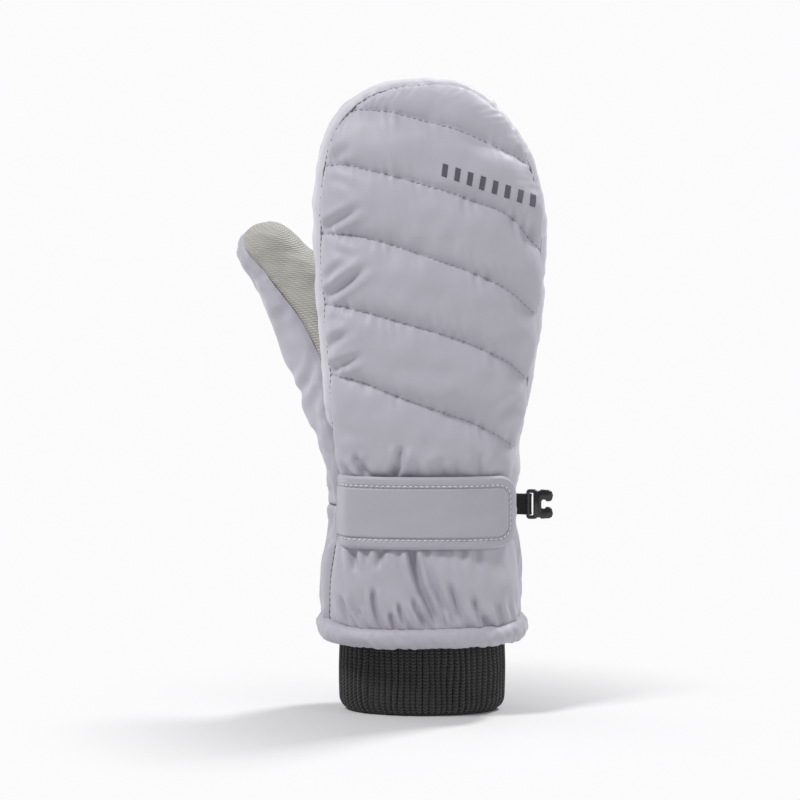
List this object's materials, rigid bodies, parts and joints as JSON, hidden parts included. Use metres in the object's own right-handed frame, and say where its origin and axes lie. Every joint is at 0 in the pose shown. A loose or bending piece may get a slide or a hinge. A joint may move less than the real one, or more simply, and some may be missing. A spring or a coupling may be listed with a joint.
{
  "type": "ski mitten",
  "caption": "Insulated right-hand ski mitten with quilted back, grip-fabric palm, wrist strap, rib-knit inner cuff and glove clip.",
  "frame": {"origin": "on the knit cuff's lower rim, at the middle of its back wall", "axes": "+Z towards the fingertips, +X towards the little finger, -Y out of the back of the hand, so the palm faces +Y and the thumb is on the -X side"},
  "size_m": [0.1475, 0.0772, 0.2985],
  "materials": {
    "shell_fabric": "smooth woven polyester with a soft sheen, lilac grey",
    "strap_fabric": "smooth woven polyester, lilac grey, slightly darker than the shell",
    "grip_fabric": "fine twill-textured grip fabric, grey with a green cast",
    "hook_and_loop": "hook-and-loop fastener tape, grey",
    "rib_knit": "charcoal rib knit",
    "padding": "white polyester wadding",
    "elastic": "white woven elastic",
    "membrane": "thin white waterproof film",
    "fleece": "brushed grey fleece",
    "webbing": "narrow black woven webbing",
    "clip_plastic": "black moulded plastic"
  },
  "bodies": {
    "hand": {"back_panel": "shell_fabric", "side_band_thumb": "shell_fabric", "side_band_little_finger": "shell_fabric", "gauntlet_palm_panel": "shell_fabric", "thumb_heel_panel": "shell_fabric", "hem_binding": "shell_fabric", "palm_grip_panel": "grip_fabric", "loop_patch": "hook_and_loop", "knit_cuff": "rib_knit", "hem_cord": "padding", "back_wadding": "padding", "palm_wadding": "padding", "wrist_elastic": "elastic", "waterproof_insert": "membrane", "lining_back": "fleece", "lining_palm": "fleece", "gauntlet_lining": "fleece"},
    "thumb": {"thumb_outer_panel": "shell_fabric", "thumb_grip_panel": "grip_fabric", "thumb_wadding": "padding", "thumb_waterproof_insert": "membrane", "thumb_lining": "fleece"},
    "strap": {"strap_face": "strap_fabric", "strap_backing": "strap_fabric", "hook_patch": "hook_and_loop"},
    "webbing": {"clip_webbing": "webbing"},
    "clip": {"glove_clip": "clip_plastic"}
  },
  "joints": [
    {"name": "thumb_swing", "type": "hinge", "parent": "hand", "child": "thumb", "pos_m": [-0.0376, 0.0556, 0.1624], "axis": [-0.89, 0, -0.456], "range_deg": [0, 28]},
    {"name": "strap_peel", "type": "hinge", "parent": "hand", "child": "strap", "pos_m": [-0.0415, 0.0041, 0.097], "axis": [0, 0, -1], "range_deg": [0, 110]},
    {"name": "webbing_bend", "type": "hinge", "parent": "hand", "child": "webbing", "pos_m": [0.0426, 0.0325, 0.097], "axis": [0, 0, 1], "range_deg": [-20, 60]},
    {"name": "clip_swing", "type": "hinge", "parent": "webbing", "child": "clip", "pos_m": [0.051, 0.0311, 0.097], "axis": [0, 0, 1], "range_deg": [-60, 60]}
  ]
}
